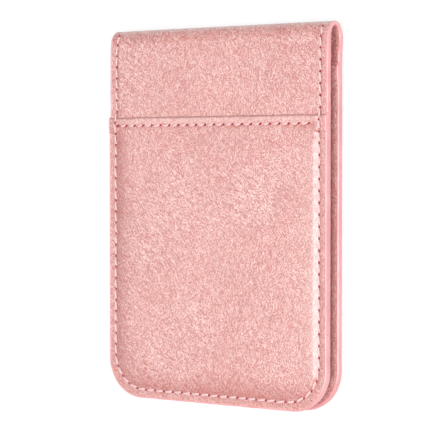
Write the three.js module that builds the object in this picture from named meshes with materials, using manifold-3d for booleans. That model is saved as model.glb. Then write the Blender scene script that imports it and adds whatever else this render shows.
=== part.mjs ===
// A stick-on card holder for the back of a phone, in stitched leather. It has two leaves that fold
// together like a book: the back leaf sticks to the phone, the front leaf is a flap that magnets hold shut.
// Each leaf is leather over board over lining, with a card pocket sewn on, and all its edges lie flush.
// Millimetres. It lies on its adhesive pad: +Z is out of the front, +Y is towards the fold, +X is right.
// The origin is under the middle of the whole holder.
import * as THREE from "three";
import { mergeVertices } from "three/addons/utils/BufferGeometryUtils.js";
import Module from "manifold-3d";

const wasm = await Module();
wasm.setup();

// Driving dimensions of the outline
const WIDTH = 67; // side edge to side edge
const LENGTH = 95; // bottom edge to the outside of the fold
const CORNER_RADIUS = 10; // the two bottom corners

// Thickness of each layer
const PAD_THICKNESS = 0.8; // foam tape with adhesive on both faces
const LEATHER = 0.6; // outer leather
const BOARD = 0.6; // stiffener
const LINING = 0.4; // inner leather
const PANEL_LEATHER = 0.45; // the leather of a pocket
const HEM_TURN = 0.35; // skived leather turned under along a pocket's mouth
const LEAF_GAP = 2.85; // open space between the closed leaves at their edges

// The fold, where the leather bends round with no board in it
const FOLD_DEPTH = 8; // from the outside of the fold down to where the boards start
const FOLD_REACH = 4.3; // how far the round part stands past its straight part
const FOLD_HALF_HEIGHT = 3.35; // half of the round part's outside height
const FOLD_DROP = 0.25; // how far the round part sits behind the middle of the two leaves
const BOND = 0.1; // glue line between leather and lining at the top of the fold
const LINING_STANDOFF = 0.35; // how far the lining stands off the leather at the sides of the bend
const FOLD_SEGMENTS = 20; // facets round the bend
const BLEND_SEGMENTS = 4; // facets where the straight part runs into the bend

// The pockets
const FRONT_MOUTH_DEPTH = 22.7; // from the outside of the fold to the front pocket's mouth
const INNER_MOUTH_DEPTH = 10.5; // the same for the inner pocket, just past the fold
const CARD_ROOM = 1.15; // height inside a pocket
const PILLOW_START = 2.9; // from the side edge to the foot of the raised face
const PILLOW_RUN = 4.1; // width of the slope from its foot to the flat top
const PILLOW_STEPS = 4; // facets up the slope
const PILLOW_CORNER_MIN = 1.5; // least corner radius of the raised face
const HEM_WIDTH = 3.8; // width of the turned hem
const HEM_ROW_DEPTH = 2.1; // from the mouth to its row of stitches

// Stitching
const SEAM_INSET = 2.05; // from the edge to the seam
const SEAM_CORNER_RADIUS = 9; // the seam cuts the corner a little
const STITCH_PITCH = 2.88; // hole to hole
const THREAD_WIDTH = 0.55;
const THREAD_HEIGHT = 0.32; // how far a stitch stands on the leather
const THREAD_PINCH = 0.35; // share of the width and height left where it enters a hole
const THREAD_CROWN = 0.5; // share of the width that is left at the crown
const STITCH_SHOULDER = 0.2; // share of the pitch from a hole to full height
const THREAD_CLEARANCE = 0.08; // under thread that crosses a curved or sloped face
const THREAD_END_GAP = 0.3; // between the ends of two runs of thread
const ROW_END_GAP = 1.3; // from a hem row's end to the side seam
const STEP_RUN = 0.4; // length over which thread climbs a step

// Magnets and the adhesive pad
const MAGNET_DIAMETER = 12;
const MAGNET_CLEARANCE = 0.3; // all round, in the hole of its board
const MAGNET_IN = 15.5; // from a side edge to its magnet's centre
const MAGNET_UP = 14; // from the bottom edge to the centres
const PAD_SIDE_MARGIN = 8.5; // bare leather beside the pad
const PAD_BOTTOM_MARGIN = 10.7; // bare leather below the pad
const PAD_TOP_MARGIN = 2.3; // from the pad up to where the board ends
const PAD_RADIUS = 6;

const ARC_SEGMENTS = 8; // facets in a corner
const ROUND_SEGMENTS = 32; // facets round a magnet

// Plan places that follow. The spine thread stands past the fold, and it counts in the middle.
const HALF_WIDTH = WIDTH / 2;
const TOP_Y = (LENGTH - THREAD_HEIGHT - THREAD_CLEARANCE) / 2;
const BOTTOM_Y = TOP_Y - LENGTH;
const BOARD_TOP_Y = TOP_Y - FOLD_DEPTH;
const BEND_Y = TOP_Y - FOLD_REACH;
const MAGNET_Y = BOTTOM_Y + MAGNET_UP;

// Heights that follow, from the pad up
const BACK_LEATHER_Z = PAD_THICKNESS;
const BACK_BOARD_Z = BACK_LEATHER_Z + LEATHER;
const BACK_LINING_Z = BACK_BOARD_Z + BOARD;
const INNER_PANEL_Z = BACK_LINING_Z + LINING;
const FRONT_LINING_Z = INNER_PANEL_Z + PANEL_LEATHER + LEAF_GAP;
const FRONT_BOARD_Z = FRONT_LINING_Z + LINING;
const FRONT_LEATHER_Z = FRONT_BOARD_Z + BOARD;
const FRONT_PANEL_Z = FRONT_LEATHER_Z + LEATHER;
const FOLD_MIDDLE_Z = (BACK_LEATHER_Z + FRONT_PANEL_Z) / 2 - FOLD_DROP;

// Finishes, as the leather maker would name them
const FINISHES = {
  leather: { color: 0xe5b6b2, roughness: 0.45, metalness: 0.1 },
  lining: { color: 0xd9a6a1, roughness: 0.6, metalness: 0 },
  board: { color: 0x8c8075, roughness: 0.9, metalness: 0 },
  thread: { color: 0xf3dcda, roughness: 0.6, metalness: 0 },
  magnet: { color: 0xc9cbce, roughness: 0.3, metalness: 0.9 },
  pad: { color: 0x34363a, roughness: 0.8, metalness: 0 },
};

// One named piece, in the body's group
function piece(group, name, geometry, finish) {
  const mesh = new THREE.Mesh(geometry, new THREE.MeshStandardMaterial(FINISHES[finish]));
  mesh.name = name;
  group.add(mesh);
}

// Solids for joining and cutting
function toSolid(geometry) {
  const bare = geometry.clone();
  bare.deleteAttribute("normal");
  bare.deleteAttribute("uv");
  const merged = mergeVertices(bare, 1e-4);
  return new wasm.Manifold(
    new wasm.Mesh({
      numProp: 3,
      vertProperties: new Float32Array(merged.attributes.position.array),
      triVerts: new Uint32Array(merged.index.array),
    }),
  );
}

function toGeometry(solid) {
  const mesh = solid.getMesh();
  const geometry = new THREE.BufferGeometry();
  geometry.setAttribute("position", new THREE.BufferAttribute(mesh.vertProperties, 3));
  geometry.setIndex(new THREE.BufferAttribute(mesh.triVerts, 1));
  geometry.computeVertexNormals();
  return geometry;
}

// The leaf's outline drawn in by an inset: a straight top, and two round corners at the bottom
function leafPoints(inset, topY, cornerRadius) {
  const side = HALF_WIDTH - inset;
  const bottom = BOTTOM_Y + inset;
  const points = [new THREE.Vector2(side, topY), new THREE.Vector2(-side, topY)];
  for (const direction of [-1, 1]) {
    for (let i = 0; i <= ARC_SEGMENTS; i += 1) {
      const step = direction < 0 ? i : ARC_SEGMENTS - i;
      const angle = (step / ARC_SEGMENTS) * (Math.PI / 2);
      const x = direction * (side - cornerRadius * (1 - Math.cos(angle)));
      points.push(new THREE.Vector2(x, bottom + cornerRadius * (1 - Math.sin(angle))));
    }
  }
  return points;
}

function slab(points, lowZ, thickness, holes = []) {
  const shape = new THREE.Shape(points);
  shape.holes.push(...holes);
  const settings = { depth: thickness, bevelEnabled: false, curveSegments: ROUND_SEGMENTS / 2 };
  return new THREE.ExtrudeGeometry(shape, settings).translate(0, 0, lowZ);
}

function leafLayer(lowZ, thickness, holes) {
  return slab(leafPoints(0, BOARD_TOP_Y, CORNER_RADIUS), lowZ, thickness, holes);
}

// Magnets, and the holes for them in a board
const MAGNET_XS = [MAGNET_IN - HALF_WIDTH, HALF_WIDTH - MAGNET_IN];

function magnetHoles() {
  const radius = MAGNET_DIAMETER / 2 + MAGNET_CLEARANCE;
  return MAGNET_XS.map((x) => new THREE.Path().absarc(x, MAGNET_Y, radius, 0, 2 * Math.PI, true));
}

function magnet(x, lowZ) {
  const radius = MAGNET_DIAMETER / 2;
  const disc = new THREE.CylinderGeometry(radius, radius, BOARD, ROUND_SEGMENTS);
  return disc.rotateX(Math.PI / 2).translate(x, MAGNET_Y, lowZ + BOARD / 2);
}

// The raised face of a pocket: its height above the flat margin, by distance from the edge.
// It climbs as an S-shaped slope, cut into straight facets.
const PILLOW_INSETS = Array.from({ length: PILLOW_STEPS + 1 }, (_, i) => {
  return PILLOW_START + (PILLOW_RUN * i) / PILLOW_STEPS;
});
const PILLOW_HEIGHTS = PILLOW_INSETS.map((inset) => {
  return CARD_ROOM * THREE.MathUtils.smoothstep(inset, PILLOW_START, PILLOW_START + PILLOW_RUN);
});

function pillowHeight(inset) {
  if (inset <= PILLOW_START) return 0;
  const place = Math.min((inset - PILLOW_START) / (PILLOW_RUN / PILLOW_STEPS), PILLOW_STEPS);
  const step = Math.min(Math.floor(place), PILLOW_STEPS - 1);
  return THREE.MathUtils.lerp(PILLOW_HEIGHTS[step], PILLOW_HEIGHTS[step + 1], place - step);
}

// A closed solid through a stack of outlines that all have the same number of points
function loft(rings) {
  const count = rings[0].points.length;
  const positions = rings.flatMap(({ points, z }) => points.flatMap((p) => [p.x, p.y, z]));
  const index = [];
  for (let ring = 0; ring + 1 < rings.length; ring += 1) {
    for (let i = 0; i < count; i += 1) {
      const a = ring * count + i;
      const b = ring * count + ((i + 1) % count);
      index.push(a, b, b + count, a, b + count, a + count);
    }
  }
  const top = (rings.length - 1) * count;
  for (const [a, b, c] of THREE.ShapeUtils.triangulateShape(rings[0].points, [])) {
    index.push(a, c, b);
  }
  for (const [a, b, c] of THREE.ShapeUtils.triangulateShape(rings.at(-1).points, [])) {
    index.push(top + a, top + b, top + c);
  }
  const geometry = new THREE.BufferGeometry();
  geometry.setAttribute("position", new THREE.Float32BufferAttribute(positions, 3));
  geometry.setIndex(index);
  return geometry;
}

function pillowRings(baseZ, topY) {
  return PILLOW_INSETS.map((inset, i) => {
    const radius = Math.max(CORNER_RADIUS - inset, PILLOW_CORNER_MIN);
    return { points: leafPoints(inset, topY, radius), z: baseZ + PILLOW_HEIGHTS[i] };
  });
}

function stripBox(lowY, highY, lowZ, highZ) {
  const box = new THREE.BoxGeometry(2 * WIDTH, highY - lowY, highZ - lowZ);
  return toSolid(box.translate(0, (lowY + highY) / 2, (lowZ + highZ) / 2));
}

// A pocket: a shallow tray of thin leather, face up, open at its mouth and underneath, where the leaf
// closes it. The leather is turned under along the mouth, which thickens the margin there.
function pocketPanel(baseZ, mouthY) {
  const marginZ = baseZ + PANEL_LEATHER;
  const pastMouth = mouthY + HEM_WIDTH;
  const wide = leafPoints(0, pastMouth, CORNER_RADIUS);
  const raised = pillowRings(marginZ, pastMouth);
  const outside = toSolid(loft([{ points: wide, z: baseZ }, { points: wide, z: marginZ }, ...raised]));
  const hem = toSolid(slab(wide, baseZ, PANEL_LEATHER + HEM_TURN));
  const above = marginZ + CARD_ROOM + LEATHER;
  const hemStrip = stripBox(mouthY - HEM_WIDTH, mouthY, baseZ - LEATHER, above);
  const belowHem = stripBox(BOTTOM_Y - LENGTH, mouthY - HEM_WIDTH, baseZ - LEATHER, above);
  const belowMouth = stripBox(BOTTOM_Y - LENGTH, mouthY, baseZ - LEATHER, above);
  const cavityFrom = (z) => {
    const rings = pillowRings(z, pastMouth + HEM_WIDTH);
    const floor = { points: rings[0].points, z: baseZ - LEATHER };
    return toSolid(loft([floor, ...rings]));
  };
  return toGeometry(
    outside
      .intersect(belowMouth)
      .add(hem.intersect(hemStrip))
      .subtract(cavityFrom(baseZ).intersect(belowHem))
      .subtract(cavityFrom(baseZ - HEM_TURN).intersect(hemStrip)),
  );
}

// The fold's section: straight, then round in half an ellipse, then straight back. It lies under the
// outside by endIn at its ends, by topIn at the top of the bend and by sideIn at the bend's two sides.
function foldPath(endIn, topIn, sideIn) {
  const frontZ = FRONT_PANEL_Z - endIn;
  const backZ = BACK_LEATHER_Z + endIn;
  const reach = FOLD_REACH - topIn;
  const half = FOLD_HALF_HEIGHT - sideIn;
  const points = [];
  for (let i = 0; i < BLEND_SEGMENTS; i += 1) {
    const share = i / BLEND_SEGMENTS;
    const z = THREE.MathUtils.lerp(frontZ, FOLD_MIDDLE_Z + half, THREE.MathUtils.smoothstep(share, 0, 1));
    points.push(new THREE.Vector2(THREE.MathUtils.lerp(BOARD_TOP_Y, BEND_Y, share), z));
  }
  for (let i = 0; i <= FOLD_SEGMENTS; i += 1) {
    const angle = Math.PI / 2 - (Math.PI * i) / FOLD_SEGMENTS;
    const y = BEND_Y + reach * Math.cos(angle);
    points.push(new THREE.Vector2(y, FOLD_MIDDLE_Z + half * Math.sin(angle)));
  }
  for (let i = 1; i <= BLEND_SEGMENTS; i += 1) {
    const share = i / BLEND_SEGMENTS;
    const z = THREE.MathUtils.lerp(FOLD_MIDDLE_Z - half, backZ, THREE.MathUtils.smoothstep(share, 0, 1));
    points.push(new THREE.Vector2(THREE.MathUtils.lerp(BEND_Y, BOARD_TOP_Y, share), z));
  }
  return points;
}

// A layer of the fold, drawn as (y, z) and run from side to side
function foldLayer(outer, inner) {
  const shape = new THREE.Shape([...outer, ...inner.toReversed()]);
  const strip = new THREE.ExtrudeGeometry(shape, { depth: WIDTH, bevelEnabled: false });
  const along = new THREE.Vector3(0, 1, 0);
  const up = new THREE.Vector3(0, 0, 1);
  const across = new THREE.Vector3(1, 0, 0);
  strip.applyMatrix4(new THREE.Matrix4().makeBasis(along, up, across));
  return strip.translate(-HALF_WIDTH, 0, 0);
}

// Thread: a low bead with a flat foot and a narrower crown, pinched where it goes down each hole.
// A station gives the foot's middle, the way across, the way up, and how full the thread is there.
function threadBead(stations) {
  const positions = [];
  const index = [];
  for (const { foot, across, up, fullness } of stations) {
    const half = (THREAD_WIDTH * fullness) / 2;
    const crown = half * THREAD_CROWN;
    const height = THREAD_HEIGHT * fullness;
    const section = [
      [-half, 0],
      [half, 0],
      [crown, height],
      [-crown, height],
    ];
    for (const [aside, rise] of section) {
      const corner = foot.clone().addScaledVector(across, aside).addScaledVector(up, rise);
      positions.push(corner.x, corner.y, corner.z);
    }
  }
  for (let ring = 0; ring + 1 < stations.length; ring += 1) {
    for (let i = 0; i < 4; i += 1) {
      const a = ring * 4 + i;
      const b = ring * 4 + ((i + 1) % 4);
      index.push(b, a, a + 4, b, a + 4, b + 4);
    }
  }
  const last = (stations.length - 1) * 4;
  index.push(0, 1, 2, 0, 2, 3, last, last + 2, last + 1, last, last + 3, last + 2);
  const geometry = new THREE.BufferGeometry();
  geometry.setAttribute("position", new THREE.Float32BufferAttribute(positions, 3));
  geometry.setIndex(index);
  geometry.computeVertexNormals();
  return geometry;
}

// Distances along a run of thread: each stitch has a pinch and two shoulders, and extra is where the
// ground under it changes.
function threadDistances(length, extra = []) {
  const stitches = Math.max(1, Math.round(length / STITCH_PITCH));
  const pitch = length / stitches;
  const places = [...extra.filter((s) => s > 0 && s < length), length];
  for (let i = 0; i < stitches; i += 1) {
    for (const share of [0, STITCH_SHOULDER, 1 - STITCH_SHOULDER]) places.push((i + share) * pitch);
  }
  places.sort((a, b) => a - b);
  const apart = places.filter((s, i) => i === 0 || s - places[i - 1] > 1e-3);
  const fullness = (s) => {
    const phase = (s / pitch) % 1;
    const fromHole = Math.min(phase, 1 - phase) / STITCH_SHOULDER;
    return THREE.MathUtils.lerp(THREAD_PINCH, 1, Math.min(fromHole, 1));
  };
  return apart.map((s) => ({ s, fullness: fullness(s) }));
}

// The seam's track: down the left side, round the bottom and up the right side
function seamTrack(topY) {
  const side = HALF_WIDTH - SEAM_INSET;
  const radius = SEAM_CORNER_RADIUS;
  const bottom = BOTTOM_Y + SEAM_INSET;
  const track = new THREE.CurvePath();
  const corner = (x, start) => {
    const arc = new THREE.EllipseCurve(x, bottom + radius, radius, radius, start, start + Math.PI / 2);
    track.add(arc);
  };
  track.add(new THREE.LineCurve(new THREE.Vector2(-side, topY), new THREE.Vector2(-side, bottom + radius)));
  corner(-side + radius, Math.PI);
  track.add(
    new THREE.LineCurve(new THREE.Vector2(-side + radius, bottom), new THREE.Vector2(side - radius, bottom)),
  );
  corner(side - radius, -Math.PI / 2);
  track.add(new THREE.LineCurve(new THREE.Vector2(side, bottom + radius), new THREE.Vector2(side, topY)));
  return track;
}

// A seam on a level face. ground lists the steps in the face as [y, z] from the bottom up, and facing is
// +1 for thread that stands up and -1 for thread that hangs under the leaf.
function seamThread(ground, facing) {
  const topY = BOARD_TOP_Y - THREAD_END_GAP;
  const track = seamTrack(topY);
  const length = track.getLength();
  const stepDistances = ground.flatMap(([y]) => [topY - y, length - (topY - y)]);
  const groundAt = (y) => {
    const next = ground.findIndex(([stepY]) => stepY > y);
    if (next === 0) return ground[0][1];
    if (next < 0) return ground.at(-1)[1];
    const [lowY, lowZ] = ground[next - 1];
    const [highY, highZ] = ground[next];
    return THREE.MathUtils.lerp(lowZ, highZ, (y - lowY) / (highY - lowY));
  };
  const up = new THREE.Vector3(0, 0, facing);
  const stations = threadDistances(length, stepDistances).map(({ s, fullness }) => {
    const share = s / length;
    const point = track.getPoint(share);
    const ahead = track.getTangent(share);
    const foot = new THREE.Vector3(point.x, point.y, groundAt(point.y));
    const across = new THREE.Vector3(ahead.x, ahead.y, 0).normalize().cross(up);
    return { foot, across, up, fullness };
  });
  return threadBead(stations);
}

// Where a pocket's margin, hem and bare leaf lie under the seam
function groundOverPocket(baseZ, mouthY) {
  const marginZ = baseZ + PANEL_LEATHER;
  const hemLowY = mouthY - HEM_WIDTH;
  return [
    [hemLowY - STEP_RUN, marginZ],
    [hemLowY - THREAD_CLEARANCE, marginZ + HEM_TURN],
    [mouthY + THREAD_CLEARANCE, marginZ + HEM_TURN],
    [mouthY + STEP_RUN, baseZ],
  ];
}

// The row of stitches along a hem, which follows the raised face up and down at its ends
function hemThread(baseZ, mouthY) {
  const y = mouthY - HEM_ROW_DEPTH;
  const half = HALF_WIDTH - SEAM_INSET - ROW_END_GAP;
  const length = 2 * half;
  const marginZ = baseZ + PANEL_LEATHER;
  const ends = PILLOW_INSETS.map((inset) => half - (HALF_WIDTH - inset));
  const extra = [...ends, ...ends.map((s) => length - s)];
  const across = new THREE.Vector3(0, -1, 0);
  const up = new THREE.Vector3(0, 0, 1);
  const stations = threadDistances(length, extra).map(({ s, fullness }) => {
    const x = s - half;
    const face = marginZ + Math.max(HEM_TURN, pillowHeight(HALF_WIDTH - Math.abs(x)));
    return { foot: new THREE.Vector3(x, y, face + THREAD_CLEARANCE), across, up, fullness };
  });
  return threadBead(stations);
}

// The seam over the fold, from the front leaf round to the back leaf
function spineThread(x) {
  const path = foldPath(-THREAD_CLEARANCE, -THREAD_CLEARANCE, -THREAD_CLEARANCE);
  const lengths = [0];
  for (let i = 1; i < path.length; i += 1) lengths.push(lengths[i - 1] + path[i].distanceTo(path[i - 1]));
  const total = lengths.at(-1);
  const at = (s) => {
    const next = Math.max(1, lengths.findIndex((length) => length >= s - 1e-9));
    const share = (s - lengths[next - 1]) / (lengths[next] - lengths[next - 1]);
    return path[next - 1].clone().lerp(path[next], share);
  };
  const across = new THREE.Vector3(1, 0, 0);
  const stations = threadDistances(total, lengths).map(({ s, fullness }) => {
    const point = at(s);
    const before = at(Math.max(0, s - THREAD_WIDTH));
    const after = at(Math.min(total, s + THREAD_WIDTH));
    const ahead = new THREE.Vector3(0, after.x - before.x, after.y - before.y).normalize();
    const up = across.clone().cross(ahead);
    return { foot: new THREE.Vector3(x, point.x, point.y), across, up, fullness };
  });
  return threadBead(stations);
}

// The adhesive pad's outline, with four round corners
function padPoints() {
  const shape = new THREE.Shape();
  const x = HALF_WIDTH - PAD_SIDE_MARGIN - PAD_RADIUS;
  const top = BOARD_TOP_Y - PAD_TOP_MARGIN - PAD_RADIUS;
  const bottom = BOTTOM_Y + PAD_BOTTOM_MARGIN + PAD_RADIUS;
  shape.absarc(x, top, PAD_RADIUS, 0, Math.PI / 2);
  shape.absarc(-x, top, PAD_RADIUS, Math.PI / 2, Math.PI);
  shape.absarc(-x, bottom, PAD_RADIUS, Math.PI, 1.5 * Math.PI);
  shape.absarc(x, bottom, PAD_RADIUS, 1.5 * Math.PI, 2 * Math.PI);
  return shape.getPoints(ARC_SEGMENTS);
}

const frontMouthY = TOP_Y - FRONT_MOUTH_DEPTH;
const innerMouthY = TOP_Y - INNER_MOUTH_DEPTH;

// The back leaf, which carries the fold and sticks to the phone
function backPanel() {
  const group = new THREE.Group();
  group.name = "back_panel";
  const pad = slab(padPoints(), 0, PAD_THICKNESS);
  piece(group, "adhesive_pad", pad, "pad");
  piece(group, "back_cover_leather", leafLayer(BACK_LEATHER_Z, LEATHER), "leather");
  piece(group, "back_board", leafLayer(BACK_BOARD_Z, BOARD, magnetHoles()), "board");
  piece(group, "back_magnet_left", magnet(MAGNET_XS[0], BACK_BOARD_Z), "magnet");
  piece(group, "back_magnet_right", magnet(MAGNET_XS[1], BACK_BOARD_Z), "magnet");
  piece(group, "back_lining", leafLayer(BACK_LINING_Z, LINING), "lining");
  piece(group, "inner_pocket_panel", pocketPanel(INNER_PANEL_Z, innerMouthY), "leather");
  piece(group, "inner_pocket_hem_thread", hemThread(INNER_PANEL_Z, innerMouthY), "thread");
  piece(group, "back_seam_thread", seamThread([[BOTTOM_Y, BACK_LEATHER_Z]], -1), "thread");
  const ground = groundOverPocket(INNER_PANEL_Z, innerMouthY);
  piece(group, "back_bobbin_thread", seamThread(ground, 1), "thread");
  const spineLeather = foldLayer(foldPath(0, 0, 0), foldPath(LEATHER, LEATHER, LEATHER));
  piece(group, "spine_leather", spineLeather, "leather");
  const liningDepths = [LEATHER + BOARD, LEATHER + BOND, LEATHER + LINING_STANDOFF];
  const liningInside = foldPath(...liningDepths.map((depth) => depth + LINING));
  piece(group, "spine_lining", foldLayer(foldPath(...liningDepths), liningInside), "lining");
  piece(group, "spine_seam_thread_left", spineThread(SEAM_INSET - HALF_WIDTH), "thread");
  piece(group, "spine_seam_thread_right", spineThread(HALF_WIDTH - SEAM_INSET), "thread");
  return group;
}

// The front leaf, a flap that swings open about the fold
function frontFlap() {
  const group = new THREE.Group();
  group.name = "front_flap";
  piece(group, "front_lining", leafLayer(FRONT_LINING_Z, LINING), "lining");
  piece(group, "front_board", leafLayer(FRONT_BOARD_Z, BOARD, magnetHoles()), "board");
  piece(group, "front_magnet_left", magnet(MAGNET_XS[0], FRONT_BOARD_Z), "magnet");
  piece(group, "front_magnet_right", magnet(MAGNET_XS[1], FRONT_BOARD_Z), "magnet");
  piece(group, "front_cover_leather", leafLayer(FRONT_LEATHER_Z, LEATHER), "leather");
  piece(group, "front_pocket_panel", pocketPanel(FRONT_PANEL_Z, frontMouthY), "leather");
  piece(group, "pocket_hem_thread", hemThread(FRONT_PANEL_Z, frontMouthY), "thread");
  const ground = groundOverPocket(FRONT_PANEL_Z, frontMouthY);
  piece(group, "front_seam_thread", seamThread(ground, 1), "thread");
  piece(group, "front_bobbin_thread", seamThread([[BOTTOM_Y, FRONT_LINING_Z]], -1), "thread");
  return group;
}

const holder = new THREE.Group();
holder.name = "card_holder";
holder.add(backPanel(), frontFlap());

export default holder;
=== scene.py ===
# %% [markdown]
# # A stitched leather card holder for the back of a phone
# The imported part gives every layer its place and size. This script gives it its looks: leather that
# swells over the card pocket, painted edges, thread, needle holes and a soft studio light.
# Each new piece is a surface worked out with numpy, laid where the layer that it stands for lies.

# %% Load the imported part
import math

import bpy
import numpy as np
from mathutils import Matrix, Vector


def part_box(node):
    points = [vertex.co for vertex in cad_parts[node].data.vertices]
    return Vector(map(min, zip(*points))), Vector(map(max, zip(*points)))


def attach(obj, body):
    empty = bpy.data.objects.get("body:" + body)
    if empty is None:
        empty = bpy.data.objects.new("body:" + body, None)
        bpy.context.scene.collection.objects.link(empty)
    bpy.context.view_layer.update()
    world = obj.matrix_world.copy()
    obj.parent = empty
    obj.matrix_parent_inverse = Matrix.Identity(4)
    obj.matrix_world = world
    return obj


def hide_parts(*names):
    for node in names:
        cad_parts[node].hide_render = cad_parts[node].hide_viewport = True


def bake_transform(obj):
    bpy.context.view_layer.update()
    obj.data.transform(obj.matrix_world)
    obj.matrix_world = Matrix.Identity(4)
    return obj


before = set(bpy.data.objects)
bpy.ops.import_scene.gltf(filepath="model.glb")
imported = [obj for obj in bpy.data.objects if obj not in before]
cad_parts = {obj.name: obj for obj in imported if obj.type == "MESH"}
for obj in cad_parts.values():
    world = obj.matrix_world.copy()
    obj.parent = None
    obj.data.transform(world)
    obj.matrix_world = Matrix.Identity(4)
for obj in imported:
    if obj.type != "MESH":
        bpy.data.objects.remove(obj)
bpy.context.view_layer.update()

# %% [markdown]
# ## Sizes from the part
# Lengths here are in millimetres, because a leather worker thinks in them. A mesh is turned into
# metres once, when it is made. The layers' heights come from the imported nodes, so nothing has to be
# fitted afterwards.

# %% Heights and edges
MM = 0.001


def corner(node, which):
    """The lowest (0) or highest (1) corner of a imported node, in millimetres."""
    return np.array(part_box(node)[which]) / MM


HALF_WIDTH = corner("back_cover_leather", 1)[0]
BOTTOM_Y = corner("back_cover_leather", 0)[1]
LEAF_TOP_Y = corner("back_cover_leather", 1)[1]
FOLD_TOP_Y = corner("spine_leather", 1)[1]
FRONT_MOUTH_Y = corner("front_pocket_panel", 1)[1]
INNER_MOUTH_Y = corner("inner_pocket_panel", 1)[1]
BACK_LEATHER_Z = corner("back_cover_leather", 0)[2]
INNER_PANEL_Z = corner("inner_pocket_panel", 0)[2]
FRONT_LINING_Z = corner("front_lining", 0)[2]
FRONT_LEATHER_Z = corner("front_cover_leather", 0)[2]
FRONT_PANEL_Z = corner("front_pocket_panel", 0)[2]
FOLD_LOW_Z = corner("spine_leather", 0)[2]
LEATHER = FRONT_PANEL_Z - FRONT_LEATHER_Z
LINING = corner("front_lining", 1)[2] - FRONT_LINING_Z
BOARD = corner("front_board", 1)[2] - corner("front_board", 0)[2]

CORNER_RADIUS = 10
PANEL_LEATHER = 0.45
HEM_TURN = 0.35
HEM_WIDTH = 3.8
HEM_ROW_DEPTH = 2.1
CARD_ROOM = corner("front_pocket_panel", 1)[2] - FRONT_PANEL_Z - PANEL_LEATHER
PILLOW_START = 2.1
PILLOW_RUN = 10.5
PILLOW_FOOT = 1.2
SEAM_INSET = 2.05
SEAM_CORNER_RADIUS = 9
STITCH_PITCH = 2.88
print("leaf:", 2 * HALF_WIDTH, "by", FOLD_TOP_Y - BOTTOM_Y, "mm, card room", round(CARD_ROOM, 3))

# %% [markdown]
# ## The camera
# The photograph looks at the front from its right side, 36 degrees off square, from a little above
# the middle and from 0.48 m away. The holder lies on its back here, so the same view looks down on
# it. The place was solved from the seams, the edges and the spacing of the stitches.

# %% Camera
CAMERA_PLACE = np.array([277.0, 12.85, 389.0])
CAMERA_TURN = math.radians(35.95)
CAMERA_PITCH = math.radians(1.58)
FOCAL_LENGTH = 157.2

along = np.array([-math.sin(CAMERA_TURN), 0, -math.cos(CAMERA_TURN)])
right = np.array([math.cos(CAMERA_TURN), 0, -math.sin(CAMERA_TURN)])
forward = math.cos(CAMERA_PITCH) * along - math.sin(CAMERA_PITCH) * np.array([0, 1, 0])
upward = np.cross(right, forward)
camera_matrix = np.eye(4)
camera_matrix[:3, 0] = right
camera_matrix[:3, 1] = upward
camera_matrix[:3, 2] = -forward
camera_matrix[:3, 3] = CAMERA_PLACE * MM

camera_data = bpy.data.cameras.new("photo_camera")
camera_data.lens = FOCAL_LENGTH
camera_data.sensor_width = 36
camera_data.clip_start = 0.01
camera = bpy.data.objects.new("photo_camera", camera_data)
camera.matrix_world = camera_matrix.T.tolist()
bpy.context.scene.collection.objects.link(camera)
bpy.context.scene.camera = camera
bpy.context.scene.view_settings.view_transform = "Standard"
print("camera at", camera.location)

# %% [markdown]
# ## Helpers for shader nodes
# A material is a small graph. Two helpers keep the graphs short: one adds a node and sets its
# inputs, the other turns a screen colour, as a picture editor shows it, into the linear colour that
# Blender mixes.

# %% Shader helpers


def linear(red, green, blue):
    """A screen colour from 0 to 255 as linear light with full alpha, by the usual display curve."""
    share = np.array([red, green, blue]) / 255
    light = np.where(share <= 0.04045, share / 12.92, ((share + 0.055) / 1.055) ** 2.4)
    return (*light.tolist(), 1.0)


def add_node(tree, kind, inputs=None, **settings):
    """A new node with some settings and inputs. An input may be a value or another node's socket."""
    node = tree.nodes.new(kind)
    for name, value in settings.items():
        setattr(node, name, value)
    for name, value in (inputs or {}).items():
        if isinstance(value, bpy.types.NodeSocket):
            tree.links.new(value, node.inputs[name])
        else:
            node.inputs[name].default_value = value
    return node


def maths(tree, operation, first, second=0.0, clamp=False):
    """One arithmetic step, and its result's socket."""
    node = add_node(tree, "ShaderNodeMath", {0: first, 1: second}, operation=operation, use_clamp=clamp)
    return node.outputs[0]


def smooth_range(tree, value, low, high, to_low=0.0, to_high=1.0):
    """value moved smoothly from low..high to to_low..to_high."""
    inputs = {"Value": value, 1: low, 2: high, 3: to_low, 4: to_high}
    return add_node(tree, "ShaderNodeMapRange", inputs, interpolation_type="SMOOTHSTEP").outputs[0]


def blend_colours(tree, share, first, second, blend="MIX"):
    """Two colours mixed by share, and the result's socket."""
    node = add_node(tree, "ShaderNodeMix", data_type="RGBA", blend_type=blend)
    for index, value in ((0, share), (6, first), (7, second)):
        if isinstance(value, bpy.types.NodeSocket):
            tree.links.new(value, node.inputs[index])
        else:
            node.inputs[index].default_value = value
    return node.outputs[2]


def new_group(name, inputs, outputs):
    """An empty shader node group with named sockets, its tree, and its input and output nodes."""
    tree = bpy.data.node_groups.new(name, "ShaderNodeTree")
    for label, kind, value in inputs:
        socket = tree.interface.new_socket(label, in_out="INPUT", socket_type=kind)
        if value is not None:
            socket.default_value = value
    for label, kind in outputs:
        tree.interface.new_socket(label, in_out="OUTPUT", socket_type=kind)
    return tree, tree.nodes.new("NodeGroupInput"), tree.nodes.new("NodeGroupOutput")


def use_group(tree, group, inputs):
    """The group placed in a material's tree."""
    node = tree.nodes.new("ShaderNodeGroup")
    node.node_tree = group
    for name, value in inputs.items():
        if isinstance(value, bpy.types.NodeSocket):
            tree.links.new(value, node.inputs[name])
        else:
            node.inputs[name].default_value = value
    return node


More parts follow.
